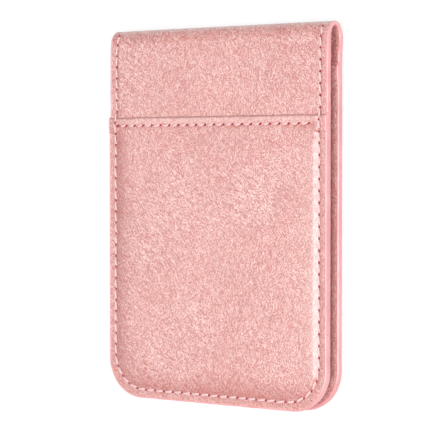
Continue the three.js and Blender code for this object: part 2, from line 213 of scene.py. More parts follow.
def new_material(name, **sockets):
    """A material with its Principled shader, whose plain numbers are set on its own sockets."""
    material = bpy.data.materials.new(name)
    material.use_nodes = True
    shader = material.node_tree.nodes["Principled BSDF"]
    for label, value in sockets.items():
        shader.inputs[label.replace("_", " ")].default_value = value
    return material, material.node_tree, shader


def object_place(tree):
    """Where a point lies on the object, in metres."""
    return add_node(tree, "ShaderNodeTexCoord").outputs["Object"]


def noise(tree, place, scale, detail=2.0, roughness=0.5, output="Fac"):
    """A cloudy pattern with about scale lumps in each unit of place."""
    inputs = {"Vector": place, "Scale": scale, "Detail": detail, "Roughness": roughness}
    return add_node(tree, "ShaderNodeTexNoise", inputs).outputs[output]


print("shader helpers ready")

# %% [markdown]
# ## Leather grain, as a group
# Pearly split leather has three sizes of detail: long shallow creases where the hide was bent, fine
# hair lines between them, and flakes of pearl pigment, each with a tone of its own. Creases and hair
# lines run one way in one patch and another way in the next, so two sets of stretched noise are mixed
# by a slow mask. A Voronoi texture gives every flake one value. Plain noise could do that too, but
# its lumps run together like felt. The group is built once and placed in both leathers.

# %% Grain group
grain_group, grain_in, grain_out = new_group(
    "leather_grain",
    [
        ("Place", "NodeSocketVector", None),
        ("Crease Depth", "NodeSocketFloat", 1.0),
        ("Hair Height", "NodeSocketFloat", 1.0),
        ("Speck Height", "NodeSocketFloat", 1.0),
    ],
    [
        ("Height", "NodeSocketFloat"),
        ("Crease", "NodeSocketFloat"),
        ("Hair", "NodeSocketFloat"),
        ("Patch", "NodeSocketFloat"),
        ("Pearl", "NodeSocketFloat"),
        ("Glitter", "NodeSocketFloat"),
    ],
)


HAIR_WIDTH = 0.00025
HAIR_LENGTHS = (0.0023, 0.002)
FLAKES_PER_METRE = 5400.0


def stretched(tree, place, turn, width, length, detail=2.0):
    """Noise drawn out along one direction, turn degrees off the y axis, in lumps of width by length
    metres. The texture kind of mapping turns the place first and then divides it by the lumps' size."""
    inputs = {
        "Vector": place,
        "Rotation": (0, 0, math.radians(turn)),
        "Scale": (width, length, width * 2),
    }
    drawn_out = add_node(tree, "ShaderNodeMapping", inputs, vector_type="TEXTURE").outputs[0]
    return noise(tree, drawn_out, 1.0, detail=detail, roughness=0.55)


def crease_lines(tree, place, turn):
    """Thin furrows: the places where drawn-out noise crosses its middle value."""
    lumps = stretched(tree, place, turn, 0.0011, 0.0075, detail=3.0)
    from_middle = maths(tree, "ABSOLUTE", maths(tree, "SUBTRACT", lumps, 0.5))
    return smooth_range(tree, from_middle, 0.055, 0.0)


def ripples(tree, place, turn):
    """Rows of shallow parallel waves, just under a millimetre apart, where the hide was rolled."""
    turned = add_node(
        tree, "ShaderNodeMapping", {"Vector": place, "Rotation": (0, 0, math.radians(turn))},
        vector_type="TEXTURE",
    ).outputs[0]
    inputs = {"Vector": turned, "Scale": 390.0, "Distortion": 5.0, "Detail": 1.0, "Detail Scale": 0.5}
    return add_node(tree, "ShaderNodeTexWave", inputs, bands_direction="X").outputs["Fac"]


def mix_values(tree, share, first, second):
    """Two numbers mixed by share."""
    return add_node(tree, "ShaderNodeMix", {0: share, 2: first, 3: second}, data_type="FLOAT").outputs[0]


def build_grain(tree, inputs, outputs):
    """Creases, hair lines, rolled waves and pearl flakes, from the point's place."""
    place = inputs.outputs["Place"]
    drift = noise(tree, place, 60.0, detail=1.0, output="Color")
    drift = add_node(tree, "ShaderNodeVectorMath", {0: drift, 1: (0.5, 0.5, 0.5)}, operation="SUBTRACT")
    drift = add_node(tree, "ShaderNodeVectorMath", {0: drift.outputs[0], "Scale": 0.007}, operation="SCALE")
    moved = add_node(tree, "ShaderNodeVectorMath", {0: place, 1: drift.outputs[0]}, operation="ADD")
    bent = moved.outputs[0]
    patch = smooth_range(tree, noise(tree, place, 34.0, detail=1.0), 0.44, 0.62)
    creases = mix_values(tree, patch, crease_lines(tree, bent, 51), crease_lines(tree, bent, -24))
    faint = smooth_range(tree, noise(tree, place, 85.0, detail=2.0), 0.38, 0.66, 0.1, 1.0)
    creases = maths(tree, "MULTIPLY", creases, faint)
    creases = maths(tree, "MULTIPLY", creases, inputs.outputs["Crease Depth"], clamp=True)
    long_hairs = stretched(tree, bent, 49, HAIR_WIDTH, HAIR_LENGTHS[0], 1.0)
    short_hairs = stretched(tree, bent, 14, HAIR_WIDTH, HAIR_LENGTHS[1], 1.0)
    hairs = mix_values(tree, patch, long_hairs, short_hairs)
    speck = noise(tree, place, 4300.0, detail=0.0)
    rolled = mix_values(tree, patch, ripples(tree, bent, 49), ripples(tree, bent, -32))
    rolled_here = smooth_range(tree, noise(tree, place, 70.0, detail=1.0), 0.4, 0.62)
    rolled = maths(tree, "MULTIPLY", maths(tree, "SUBTRACT", rolled, 0.5), rolled_here)
    rolled = maths(tree, "MULTIPLY", rolled, inputs.outputs["Crease Depth"])
    height = maths(tree, "MULTIPLY", creases, -0.4)
    height = maths(tree, "ADD", height, maths(tree, "MULTIPLY", rolled, 0.36))
    height = maths(tree, "ADD", height, maths(tree, "MULTIPLY", hairs, inputs.outputs["Hair Height"]))
    flakes = add_node(tree, "ShaderNodeTexVoronoi", {"Vector": place, "Scale": FLAKES_PER_METRE})
    flakes = flakes.outputs["Color"]
    rough = maths(tree, "ADD", maths(tree, "MULTIPLY", speck, 0.5), maths(tree, "MULTIPLY", flakes, 0.8))
    height = maths(tree, "ADD", height, maths(tree, "MULTIPLY", rough, inputs.outputs["Speck Height"]))
    tree.links.new(height, outputs.inputs["Height"])
    tree.links.new(creases, outputs.inputs["Crease"])
    streaks = maths(tree, "ADD", hairs, maths(tree, "MULTIPLY", rolled, 0.12))
    tree.links.new(streaks, outputs.inputs["Hair"])
    tree.links.new(noise(tree, place, 38.0, detail=3.0), outputs.inputs["Patch"])
    tree.links.new(noise(tree, place, 2900.0, detail=1.0), outputs.inputs["Pearl"])
    tree.links.new(flakes, outputs.inputs["Glitter"])


build_grain(grain_group, grain_in, grain_out)
print("leather grain:", len(grain_group.nodes), "nodes")

# %% [markdown]
# ## Outer leather
# The dye is a warm salmon and the pearl over it is nearly white, so the leather is pale where it
# faces the light and richer where it turns away. A clear, even coat lies over the grain, as on most
# such leather, and it gives the swollen pocket its soft highlight. Along the seams and on the
# pocket's slopes beside them the colour is darkened: that is painted shade, and it follows an
# attribute worked out when a skin is made. The strip along each pocket's mouth is lightened by
# another attribute: that is a painted highlight.

# %% Outer leather material
DYE = linear(214, 131, 122)
# The deep tone darkens parts of the grain, and it is also the colour of the painted shade along the seams
# and the pocket's slopes.
DEEP_DYE_AND_SHADE = linear(178, 84, 77)
DYE_PEACH = linear(223, 148, 120)
DYE_MAUVE = linear(206, 125, 140)
# This near white lightens parts of the grain, and it is also the colour of the painted highlight along each
# pocket's mouth.
PEARL_AND_HIGHLIGHT_WHITE = linear(252, 222, 218)


GRAIN_DEPTH = 0.00009


def leather_material(name, depth, lightness):
    """Pearly leather. depth scales the creases and lightness scales the whole colour."""
    material, tree, shader = new_material(
        name, IOR=1.75, Specular_Tint=(0.3, 1.0, 1.0, 1.0), Coat_Weight=1.0, Coat_IOR=1.7,
        Coat_Roughness=0.38, Sheen_Weight=0.05, Sheen_Roughness=0.4,
    )
    place = object_place(tree)
    grain = use_group(
        tree, grain_group,
        {
            "Place": place,
            "Crease Depth": depth,
            "Hair Height": 0.8 * depth,
            "Speck Height": 0.35,
        },
    )
    painted_shade = add_node(tree, "ShaderNodeAttribute", attribute_name="painted_shade").outputs["Fac"]
    tint = smooth_range(tree, grain.outputs["Pearl"], 0.36, 0.64)
    colour = blend_colours(tree, tint, DYE_PEACH, DYE_MAUVE)
    colour = blend_colours(tree, 0.5, colour, DYE)
    light_hair = smooth_range(tree, grain.outputs["Hair"], 0.5, 0.66, 0.0, 0.55)
    colour = blend_colours(tree, light_hair, colour, PEARL_AND_HIGHLIGHT_WHITE)
    dark_hair = smooth_range(tree, grain.outputs["Hair"], 0.5, 0.34, 0.0, 0.65)
    colour = blend_colours(tree, dark_hair, colour, DEEP_DYE_AND_SHADE)
    glitter = smooth_range(tree, grain.outputs["Glitter"], 0.5, 0.8, 0.0, 0.7)
    colour = blend_colours(tree, glitter, colour, PEARL_AND_HIGHLIGHT_WHITE)
    dull = smooth_range(tree, grain.outputs["Glitter"], 0.5, 0.2, 0.0, 0.85)
    colour = blend_colours(tree, dull, colour, DEEP_DYE_AND_SHADE)
    colour = blend_colours(tree, maths(tree, "MULTIPLY", grain.outputs["Crease"], 0.35), colour, DEEP_DYE_AND_SHADE)
    worn = smooth_range(tree, grain.outputs["Patch"], 0.35, 0.65, 0.0, 0.22)
    colour = blend_colours(tree, worn, colour, DYE)
    # Painted shade: the colour is darkened along the seams and on the pocket's slopes, by an attribute of
    # the mesh.
    colour = blend_colours(tree, maths(tree, "MULTIPLY", painted_shade, 0.35), colour, DEEP_DYE_AND_SHADE)
    # Painted highlight: the strip along a pocket's mouth is lightened towards white, by an attribute of the
    # mesh.
    painted_hem_highlight = add_node(tree, "ShaderNodeAttribute", attribute_name="painted_hem_highlight").outputs["Fac"]
    colour = blend_colours(tree, maths(tree, "MULTIPLY", painted_hem_highlight, 0.16), colour, PEARL_AND_HIGHLIGHT_WHITE)
    shade = (lightness, lightness, lightness, 1)
    tree.links.new(blend_colours(tree, 1.0, colour, shade, "MULTIPLY"), shader.inputs["Base Color"])
    rough = smooth_range(tree, grain.outputs["Pearl"], 0.3, 0.7, 0.42, 0.52)
    tree.links.new(rough, shader.inputs["Roughness"])
    bump = add_node(
        tree, "ShaderNodeBump",
        {"Strength": 1.0, "Distance": GRAIN_DEPTH, "Height": grain.outputs["Height"]},
    )
    tree.links.new(bump.outputs[0], shader.inputs["Normal"])
    return material


outer_leather = leather_material("pearl_leather", 1.0, 1.0)
# The lining's copy is a tenth lighter than the outer leather: painted light, which stands in for light
# reaching into the gap between the leaves.
inner_leather = leather_material("lining_leather", 0.9, 1.1)
print("leather materials:", outer_leather.name, inner_leather.name)

# %% [markdown]
# ## Paint, thread, holes and the hidden layers
# Edge paint is a smooth satin coat with a soft unevenness. Thread is a twisted cord, so its pattern
# is a slanted stripe on its own UV map. The needle holes only need to be dark. Board, magnets and
# foam tape are hardly seen, but each has its own texture for when the part is taken apart.

# %% Other materials


def paint_material():
    """Satin edge paint with slow thick and thin places."""
    material, tree, shader = new_material("edge_paint", Roughness=0.38, IOR=1.9)
    place = object_place(tree)
    cloudy = smooth_range(tree, noise(tree, place, 160.0, detail=3.0), 0.35, 0.65)
    colour = blend_colours(tree, cloudy, linear(222, 147, 149), linear(232, 162, 163))
    tree.links.new(colour, shader.inputs["Base Color"])
    ripples = noise(tree, place, 900.0, detail=2.0)
    bump = add_node(tree, "ShaderNodeBump", {"Strength": 0.25, "Distance": 0.00005, "Height": ripples})
    tree.links.new(bump.outputs[0], shader.inputs["Normal"])
    return material


def thread_material():
    """Waxed thread: slanted plies across the UV map, pale with a darker line between them."""
    material, tree, shader = new_material(
        "waxed_thread", Roughness=0.5, Sheen_Weight=0.3, Sheen_Roughness=0.5
    )
    uv = add_node(tree, "ShaderNodeTexCoord").outputs["UV"]
    slant = {"Vector": uv, "Rotation": (0, 0, 0.9), "Scale": (5, 3, 1)}
    slanted = add_node(tree, "ShaderNodeMapping", slant)
    plies = add_node(
        tree, "ShaderNodeTexWave", {"Vector": slanted.outputs[0], "Scale": 1.0, "Distortion": 0.4}
    ).outputs["Fac"]
    colour = blend_colours(tree, plies, linear(222, 182, 181), linear(243, 211, 209))
    tree.links.new(colour, shader.inputs["Base Color"])
    bump = add_node(tree, "ShaderNodeBump", {"Strength": 0.5, "Distance": 0.00006, "Height": plies})
    tree.links.new(bump.outputs[0], shader.inputs["Normal"])
    return material


def hole_material():
    """The shadow inside a needle hole, with a torn, uneven rim."""
    material, tree, shader = new_material("needle_hole", Roughness=0.85)
    torn = noise(tree, object_place(tree), 4000.0)
    colour = blend_colours(tree, torn, linear(124, 22, 38), linear(170, 58, 76))
    tree.links.new(colour, shader.inputs["Base Color"])
    return material


def board_material():
    """Pressed fibre board: short fibres in grey and brown."""
    material, tree, shader = new_material("fibre_board", Roughness=0.9)
    place = object_place(tree)
    fibres = add_node(tree, "ShaderNodeMapping", {"Vector": place, "Scale": (400, 1600, 1600)}).outputs[0]
    fleck = noise(tree, fibres, 1.0, detail=4.0, roughness=0.7)
    colour = blend_colours(tree, fleck, linear(120, 104, 92), linear(176, 162, 146))
    tree.links.new(colour, shader.inputs["Base Color"])
    bump = add_node(tree, "ShaderNodeBump", {"Strength": 0.4, "Distance": 0.00006, "Height": fleck})
    tree.links.new(bump.outputs[0], shader.inputs["Normal"])
    return material


def magnet_material():
    """Nickel plate, brushed one way."""
    material, tree, shader = new_material("nickel_plate", Metallic=1.0, Roughness=0.25)
    place = object_place(tree)
    brushed = add_node(tree, "ShaderNodeMapping", {"Vector": place, "Scale": (300, 6000, 6000)}).outputs[0]
    lines = noise(tree, brushed, 1.0, detail=3.0)
    colour = blend_colours(tree, lines, linear(186, 188, 192), linear(222, 223, 225))
    tree.links.new(colour, shader.inputs["Base Color"])
    tree.links.new(smooth_range(tree, lines, 0.3, 0.7, 0.18, 0.34), shader.inputs["Roughness"])
    return material


def foam_material():
    """Closed-cell foam tape: small open bubbles in dark grey."""
    material, tree, shader = new_material("foam_tape", Roughness=0.8)
    place = object_place(tree)
    cells = add_node(tree, "ShaderNodeTexVoronoi", {"Vector": place, "Scale": 2600.0}).outputs["Distance"]
    colour = blend_colours(tree, cells, linear(38, 40, 44), linear(66, 68, 73))
    tree.links.new(colour, shader.inputs["Base Color"])
    bump = add_node(tree, "ShaderNodeBump", {"Strength": 0.5, "Distance": 0.0001, "Height": cells})
    tree.links.new(bump.outputs[0], shader.inputs["Normal"])
    return material


edge_paint = paint_material()
waxed_thread = thread_material()
needle_hole = hole_material()
fibre_board = board_material()
nickel_plate = magnet_material()
foam_tape = foam_material()
print("materials:", len(bpy.data.materials))

# %% [markdown]
# ## From a grid of numbers to a mesh
# A surface is a grid of points, stored row by row. Its faces are the squares between neighbours, and
# they can be listed for the whole grid at once. A sheet of leather needs two such grids, an outside
# and an inside, joined round the rim so that the body is closed.

# %% Grid helpers


def grid_faces(rows, columns, wrap=False):
    """The squares of a grid: each joins a point, the next in its row, and the two above them."""
    across = columns if wrap else columns - 1
    row, column = np.meshgrid(np.arange(rows - 1), np.arange(across), indexing="ij")
    after = (column + 1) % columns
    low, high = row * columns, (row + 1) * columns
    return np.stack([low + column, low + after, high + after, high + column], -1).reshape(-1, 4)


def rim_loop(rows, columns):
    """The grid's outermost points, once round: along the first row, up, back along the last, down."""
    index = np.arange(rows * columns).reshape(rows, columns)
    return np.concatenate([index[0, :-1], index[:-1, -1], index[-1, :0:-1], index[:0:-1, 0]])


def signed_volume(points, faces):
    """The volume inside, positive if the faces point out: a sum over the fans that make each face."""
    total = 0.0
    for face in faces:
        polygon = points[np.asarray(face)]
        if polygon.ndim == 2:
            polygon = polygon[None]
        first = polygon[:, :1]
        fan = np.cross(polygon[:, 1:-1], polygon[:, 2:])
        total += np.einsum("nij,nij->", np.broadcast_to(first, fan.shape), fan) / 6
    return total


def make_piece(name, points, faces, material, sharp=35):
    """A mesh object in metres from points in millimetres. faces is a list of index arrays, or of one
    long polygon each. All are turned round if the volume says that they point inwards."""
    points = np.asarray(points, float)
    if signed_volume(points, faces) < 0:
        faces = [np.asarray(face)[..., ::-1] for face in faces]
    polygons = []
    for face in faces:
        face = np.asarray(face)
        polygons += face.tolist() if face.ndim == 2 else [face.tolist()]
    mesh = bpy.data.meshes.new(name)
    mesh.from_pydata((points * MM).tolist(), [], polygons)
    mesh.shade_smooth()
    mesh.set_sharp_from_angle(angle=math.radians(sharp))
    mesh.materials.append(material)
    piece = bpy.data.objects.new(name, mesh)
    bpy.context.scene.collection.objects.link(piece)
    print(f"{name}: {len(points)} points, {len(polygons)} faces")
    return piece


def closed_sheet(name, outside, inside, material, sharp=35):
    """A body between two grids of the same size, closed by a band round their rims."""
    rows, columns = outside.shape[:2]
    count = rows * columns
    squares = grid_faces(rows, columns)
    loop = rim_loop(rows, columns)
    after = np.roll(loop, -1)
    band = np.stack([loop + count, after + count, after, loop], -1)
    points = np.concatenate([outside.reshape(-1, 3), inside.reshape(-1, 3)])
    return make_piece(name, points, [squares, squares[:, ::-1] + count, band], material, sharp)


def flat_backed(name, outside, back_z, material):
    """A body under one grid: its rim drops to a level back, which is one flat polygon."""
    rows, columns = outside.shape[:2]
    points = outside.reshape(-1, 3)
    loop = rim_loop(rows, columns)
    back = points[loop].copy()
    back[:, 2] = back_z
    index = np.arange(len(loop)) + len(points)
    band = np.stack([index, np.roll(index, -1), np.roll(loop, -1), loop], -1)
    faces = [grid_faces(rows, columns), band, index[::-1]]
    return make_piece(name, np.concatenate([points, back]), faces, material)


def paint_attribute(piece, name, values):
    """A number for each point of a mesh, which its material can read."""
    attribute = piece.data.attributes.new(name, "FLOAT", "POINT")
    attribute.data.foreach_set("value", np.asarray(values, np.float32))


print("grid helpers ready")

# %% [markdown]
# ## A net over a leaf
# A leaf is a rectangle with two round corners. A square net is laid over it, closer near the edges
# where the seam runs, and each corner square is pressed into a quarter circle. Heights can then be
# any formula of how far a point lies from the edge and from the seam. A subdivided box would need
# the seam's dent to be modelled by hand.

# %% Net and distances
EDGE_INSET = 0.3


def smoothstep(value, low, high):
    """0 below low, 1 above high, and an S-shaped climb between them."""
    share = np.clip((value - low) / (high - low), 0, 1)
    return share * share * (3 - 2 * share)


def spaced(*stops):
    """Numbers along a line: pairs of (end, step) after a start, each stretch divided evenly."""
    start, *stretches = stops
    places = [np.array([start])]
    for end, step in stretches:
        count = max(1, round((end - start) / step))
        places.append(np.linspace(start, end, count + 1)[1:])
        start = end
    return np.concatenate(places)


def leaf_net(columns, rows):
    """x and y of the net. In a corner square, with p and q from 0 to 1 towards the two edges, the
    point moves to p times the root of 1 - q*q/2, and the same with p and q swapped."""
    radius = CORNER_RADIUS - EDGE_INSET
    x, y = np.meshgrid(columns, rows)
    straight = HALF_WIDTH - CORNER_RADIUS
    level = BOTTOM_Y + CORNER_RADIUS
    p = np.clip((np.abs(x) - straight) / radius, 0, 1)
    q = np.clip((level - y) / radius, 0, 1)
    pressed_x = np.minimum(np.abs(x), straight) + radius * p * np.sqrt(1 - q * q / 2)
    pressed_y = np.maximum(y, level) - radius * q * np.sqrt(1 - p * p / 2)
    return np.sign(x) * pressed_x, pressed_y


def from_outline(x, y, inset, radius):
    """Distance inwards from the outline drawn in by inset, with round bottom corners. It is negative
    outside. There is no edge at the top."""
    beyond_side = np.abs(x) - (HALF_WIDTH - inset - radius)
    beyond_bottom = (BOTTOM_Y + inset + radius) - y
    outside = np.hypot(np.maximum(beyond_side, 0), np.maximum(beyond_bottom, 0))
    return radius - outside - np.minimum(np.maximum(beyond_side, beyond_bottom), 0)


def from_edge(x, y):
    """Distance inwards from the cut edge."""
    return from_outline(x, y, 0, CORNER_RADIUS)


def from_seam(x, y):
    """Distance inwards from the seam, negative between the seam and the edge."""
    return from_outline(x, y, SEAM_INSET, SEAM_CORNER_RADIUS)


def groove(distance, depth=0.16, width=0.42):
    """The dent that a pulled thread leaves: a bell curve across it."""
    return depth * np.exp(-((distance / width) ** 2))


def seam_puckers(x, y, distance):
    """Small swellings of the leather between the needle holes, on both sides of the seam."""
    wave = np.cos(2 * np.pi * (np.abs(x) + y) / STITCH_PITCH)
    return 0.035 * wave * np.exp(-(((np.abs(distance) - 0.7) / 0.6) ** 2))


SIDE = HALF_WIDTH - EDGE_INSET
EDGE_STEP = 0.3
BROAD_STEP = 0.6
ROW_STEP = 0.48
COLUMNS = spaced(-SIDE, (-SIDE + 7.5, EDGE_STEP), (SIDE - 7.5, BROAD_STEP), (SIDE, EDGE_STEP))
print("net columns:", len(COLUMNS))

# %% [markdown]
# ## The card pocket
# The pocket is thin leather sewn down round its edge and swollen over the room for a card. It climbs
# steeply beside the seam and then levels out, as a filled pocket does. Along the mouth the leather is
# turned under, which thickens the margin and rounds the edge, and a row of stitches dents it. The
# inside follows the outside at the leather's thickness, so that a card still fits. A cloth
# simulation could swell it too, but a formula keeps the seam exactly where the stitches are.

# %% Pocket skins
MOUTH_ROUND = 0.5
INNER_EDGE_THINNED = 0.3


def pocket_heights(x, y, base_z, mouth_y, thinned=0.0):
    """The outside and the underside of a pocket, as two heights at each point. The swell is 1 less the
    cube of what is left of the climb, eased in beside the seam. thinned is how much of the leather is
    pared away at the cut edge."""
    edge = from_edge(x, y)
    seam = from_seam(x, y)
    climb = np.clip((edge - PILLOW_START) / PILLOW_RUN, 0, 1)
    eased = smoothstep(edge, PILLOW_START, PILLOW_START + PILLOW_FOOT)
    swell = CARD_ROOM * (1 - (1 - climb) ** 3) * eased
    hem = smoothstep(y, mouth_y - HEM_WIDTH - 0.5, mouth_y - HEM_WIDTH + 0.3)
    margin = PANEL_LEATHER + HEM_TURN * hem * (1 - smoothstep(swell, 0, HEM_TURN * 2))
    swell = swell * (1 - 0.45 * smoothstep(y, mouth_y - 9, mouth_y - 1))
    lift = swell + 0.1 * smoothstep(edge, 4, 22) * smoothstep(mouth_y - y, 2, 20)
    row = y - (mouth_y - HEM_ROW_DEPTH)
    row_reach = smoothstep(seam, 0.6, 1.6)
    roll = 0.06 * np.exp(-(((y - mouth_y + 0.9) / 0.7) ** 2)) * row_reach
    outside = base_z + margin - thinned * smoothstep(edge, 1.6, 0.2) + lift + roll
    outside -= groove(seam) + groove(row, 0.2, 0.5) * row_reach
    outside += seam_puckers(x, y, seam)
    row_wave = np.cos(2 * np.pi * x / STITCH_PITCH)
    outside += 0.03 * row_wave * np.exp(-(((np.abs(row) - 0.7) / 0.5) ** 2)) * row_reach
    from_mouth = np.clip(mouth_y - y, 0, MOUTH_ROUND)
    outside -= MOUTH_ROUND - np.sqrt(MOUTH_ROUND**2 - (MOUTH_ROUND - from_mouth) ** 2)
    room = swell - HEM_TURN * hem
    underside = base_z + np.clip(room, 0, None)
    return outside, np.minimum(underside, outside - 0.12)


def pocket_skin(name, node, base_z, mouth_y, step, thinned):
    """The pocket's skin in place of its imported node. step makes its net coarser."""
    rows = spaced(
        BOTTOM_Y + EDGE_INSET, (BOTTOM_Y + 8, EDGE_STEP * step), (mouth_y - 5, ROW_STEP * step),
        (mouth_y - MOUTH_ROUND, 0.25 * step), (mouth_y, 0.07 * step),
    )
    x, y = leaf_net(COLUMNS, rows)
    outside, underside = pocket_heights(x, y, base_z, mouth_y, thinned)
    piece = closed_sheet(
        name, np.stack([x, y, outside], -1), np.stack([x, y, underside], -1), outer_leather
    )
    seam = from_seam(x, y)
    edge = from_edge(x, y)
    # Painted shade: the colour is darkened in the seam's dent and on the slope that climbs from the seam.
    painted_shade = 0.9 * np.exp(-((seam / 0.9) ** 2)) + 0.95 * np.exp(-(((edge - 3.2) / 2.8) ** 2))
    paint_attribute(piece, "painted_shade", np.tile(np.clip(painted_shade, 0, 1).ravel(), 2))
    # Painted highlight: the strip between the hem's stitch row and the mouth is lightened.
    above_row = y - (mouth_y - HEM_ROW_DEPTH)
    painted_hem_highlight = smoothstep(above_row, -0.1, 0.6) * smoothstep(edge, 1, 3)
    paint_attribute(piece, "painted_hem_highlight", np.tile(painted_hem_highlight.ravel(), 2))
    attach(piece, "front_flap" if node == "front_pocket_panel" else "back_panel")
    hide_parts(node)


pocket_skin("front_pocket_skin", "front_pocket_panel", FRONT_PANEL_Z, FRONT_MOUTH_Y, 1.0, 0)
pocket_skin(
    "inner_pocket_skin", "inner_pocket_panel", INNER_PANEL_Z, INNER_MOUTH_Y, 1.6, INNER_EDGE_THINNED
)

# %% [markdown]
# ## The leaves' outer and inner leather
# The two covers and the two linings are level sheets with a seam dented into them. They share one
# function: which way the face looks decides which side is flat. A dent in the bump alone would be
# simpler, but the thread has to lie in it. A pocket hides most of the front cover and of the back
# lining, so their nets are coarse there.

# %% Cover and lining skins


def leaf_skin(name, node, body, facing, material, hidden_below=None):
    """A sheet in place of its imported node. facing is +1 if its face looks up and -1 if it looks down."""
    low_z = corner(node, 0)[2]
    high_z = corner(node, 1)[2]
    face_z = high_z if facing > 0 else low_z
    back_z = low_z if facing > 0 else high_z
    start = BOTTOM_Y + EDGE_INSET
    if hidden_below is None:
        rows = spaced(start, (BOTTOM_Y + 8, EDGE_STEP), (LEAF_TOP_Y, BROAD_STEP))
    else:
        rows = spaced(start, (hidden_below - 1, 2.5), (LEAF_TOP_Y, 0.35))
    x, y = leaf_net(COLUMNS, rows)
    seam = from_seam(x, y)
    shown = 1.0 if hidden_below is None else smoothstep(y, hidden_below - 0.2, hidden_below + 0.6)
    dent = (groove(seam) - seam_puckers(x, y, seam)) * shown
    sink = 0.05 * smoothstep(np.abs(seam), 4.0, 0.0) * shown
    z = face_z - facing * (dent + sink)
    grid = np.stack([x, y, z], -1)
    if facing < 0:
        grid = grid[:, ::-1]
    piece = flat_backed(name, grid, back_z, material)
    rim = len(piece.data.vertices) - grid.shape[0] * grid.shape[1]
    # Painted shade: the colour is darkened in the seam's dent.
    painted_shade = np.exp(-((from_seam(grid[..., 0], grid[..., 1]) / 0.9) ** 2)).ravel()
    paint_attribute(piece, "painted_shade", np.concatenate([painted_shade, np.zeros(rim)]))
    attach(piece, body)
    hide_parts(node)


leaf_skin(
    "front_cover_skin", "front_cover_leather", "front_flap", 1, outer_leather,
    hidden_below=FRONT_MOUTH_Y,
)
leaf_skin("front_lining_skin", "front_lining", "front_flap", -1, inner_leather)
leaf_skin("back_cover_skin", "back_cover_leather", "back_panel", -1, outer_leather)
leaf_skin(
    "back_lining_skin", "back_lining", "back_panel", 1, inner_leather,
    hidden_below=INNER_MOUTH_Y,
)

# %% [markdown]
# ## The fold
# Leather and lining run round the fold like the spine of a book. The section is straight, then half
# an ellipse, then straight, and the lining stands off the leather at the sides of the bend.

# %% Fold skins
FOLD_REACH = 4.3
FOLD_HALF_HEIGHT = 3.35
BOND = 0.1
LINING_STANDOFF = 0.35
FOLD_MIDDLE_Z = FOLD_LOW_Z + FOLD_HALF_HEIGHT
BEND_Y = FOLD_TOP_Y - FOLD_REACH
STRAIGHT_SHARE = np.linspace(0, 1, 17)[:-1]
BEND_ANGLES = np.linspace(np.pi / 2, -np.pi / 2, 61)


def fold_path(end_in, top_in, side_in):
    """y and z round the fold from the front leaf to the back leaf: an S-shaped run into half an
    ellipse and the same out of it. It lies under the outside by end_in at its ends, by top_in at the
    top of the bend and by side_in at the bend's sides."""
    half = FOLD_HALF_HEIGHT - side_in
    climb = smoothstep(STRAIGHT_SHARE, 0, 1)
    front_z = FRONT_PANEL_Z - end_in
    back_z = BACK_LEATHER_Z + end_in
    run_y = LEAF_TOP_Y + (BEND_Y - LEAF_TOP_Y) * STRAIGHT_SHARE
    run_in = front_z + (FOLD_MIDDLE_Z + half - front_z) * climb
    run_out = back_z + (FOLD_MIDDLE_Z - half - back_z) * climb
    bend_y = BEND_Y + (FOLD_REACH - top_in) * np.cos(BEND_ANGLES)
    bend_z = FOLD_MIDDLE_Z + half * np.sin(BEND_ANGLES)
    y = np.concatenate([run_y, bend_y, run_y[::-1]])
    z = np.concatenate([run_in, bend_z, run_out[::-1]])
    return np.stack([y, z], -1)


def path_normals(path):
    """The outward direction at each point of a path: its own direction turned a quarter."""
    ahead = np.gradient(path, axis=0)
    ahead /= np.linalg.norm(ahead, axis=1, keepdims=True)
    normals = np.stack([-ahead[:, 1], ahead[:, 0]], -1)
    normals[0] = (0, 1)
    normals[-1] = (0, -1)
    return normals


def bend_with_flap(piece):
    """The piece's place is baked into its mesh. It is attached to neither leaf."""
    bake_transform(piece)


def fold_grid(path, dent):
    """A path run from side to side, pushed in along its normal by dent, one number for each column."""
    normals = path_normals(path)
    y = path[:, None, 0] - normals[:, None, 0] * dent
    z = path[:, None, 1] - normals[:, None, 1] * dent
    x = np.broadcast_to(COLUMNS, y.shape)
    return np.stack([x, y, z], -1)


def fold_skin(name, node, outer, inner, dents_outside, material):
    """One layer of the fold. The seam dents its shown side: the outside of the leather, or the inside
    of the lining."""
    seam = HALF_WIDTH - SEAM_INSET - np.abs(COLUMNS)
    dent = groove(seam) + 0.05 * smoothstep(np.abs(seam), 4.0, 0.0)
    outside = fold_grid(outer, dent * dents_outside)
    inside = fold_grid(inner, -dent * (1 - dents_outside))
    piece = closed_sheet(name, outside, inside, material, sharp=50)
    # Painted shade: the colour is darkened in the seam's dent.
    painted_shade = np.broadcast_to(np.exp(-((seam / 0.9) ** 2)), outside.shape[:2]).ravel()
    paint_attribute(piece, "painted_shade", np.tile(painted_shade, 2))
    bend_with_flap(piece)
    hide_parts(node)


fold_outside = fold_path(0, 0, 0)
leather_inside = fold_path(LEATHER, LEATHER, LEATHER)
under_board = LEATHER + BOARD
lining_outside = fold_path(under_board, LEATHER + BOND, LEATHER + LINING_STANDOFF)
lining_inside = fold_path(under_board + LINING, LEATHER + BOND + LINING, LEATHER + LINING_STANDOFF + LINING)
fold_skin(
    "spine_skin", "spine_leather", fold_outside, leather_inside, 1, outer_leather
)
fold_skin(
    "spine_lining_skin", "spine_lining", lining_outside, lining_inside, 0, inner_leather
)

# %% [markdown]
# ## Painted edges
# After sewing, the layers are trimmed together and the edge is painted, which leaves one smooth
# rounded band. It is a D-shaped profile carried along the edge: a superellipse, flatter than a half
# circle, that stands a hair past the cut and wraps over both faces. Bevelling the leather itself
# would round each layer by itself, while the paint runs over all of them.

# %% Edge bands
PAINT_WRAP = 0.28
FRONT_STAND = 0.2
BACK_STAND = 0.4
PAINT_POWER = 0.6
PROFILE_ANGLES = np.linspace(-np.pi / 2, np.pi / 2, 15)
BURIED = 0.18


